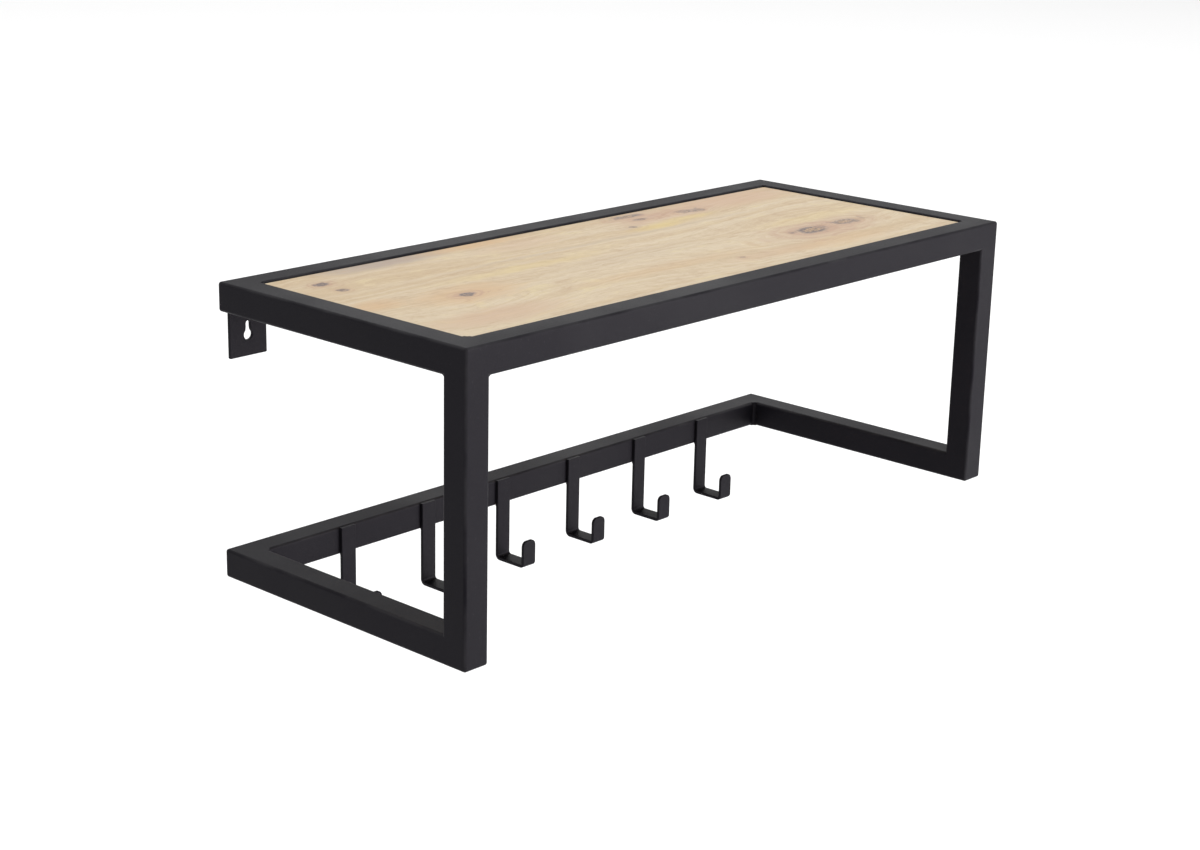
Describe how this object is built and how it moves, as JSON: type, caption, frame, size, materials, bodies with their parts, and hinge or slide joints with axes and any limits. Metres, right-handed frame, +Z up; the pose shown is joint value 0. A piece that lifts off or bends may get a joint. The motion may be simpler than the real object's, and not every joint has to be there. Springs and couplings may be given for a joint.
{
  "type": "wall coat rack with shelf",
  "caption": "Wall-hung coat rack: welded square-tube steel frame with an inset wooden shelf board on top and bent flat-bar hooks along its lower rear rail.",
  "frame": {"origin": "On the wall plane, midway between the round openings of the two keyholes.", "axes": "+X along the rack to the right as seen from the room, +Y into the wall, +Z up."},
  "size_m": [0.7, 0.29, 0.308],
  "materials": {
    "frame_coat": "matt, fine-textured black powder coat over welded steel",
    "board_wood": "pale, lightly oiled hardwood with pinkish figure and a few knots",
    "zinc_screw": "bright zinc plate"
  },
  "bodies": {
    "root": {"top_front_rail": "frame_coat", "top_rear_rail": "frame_coat", "top_left_rail": "frame_coat", "top_right_rail": "frame_coat", "left_post": "frame_coat", "right_post": "frame_coat", "lower_left_rail": "frame_coat", "lower_right_rail": "frame_coat", "hook_rail": "frame_coat", "hook_1": "frame_coat", "hook_2": "frame_coat", "hook_3": "frame_coat", "hook_4": "frame_coat", "hook_5": "frame_coat", "hook_6": "frame_coat", "left_wall_plate": "frame_coat", "right_wall_plate": "frame_coat", "shelf_board": "board_wood", "front_left_tab": "frame_coat", "front_right_tab": "frame_coat", "rear_left_tab": "frame_coat", "rear_right_tab": "frame_coat", "board_screws": "zinc_screw", "post_welds": "frame_coat", "shelf_corner_welds": "frame_coat", "hook_rail_welds": "frame_coat", "hook_welds": "frame_coat", "plate_welds": "frame_coat", "tab_welds": "frame_coat"}
  },
  "joints": []
}
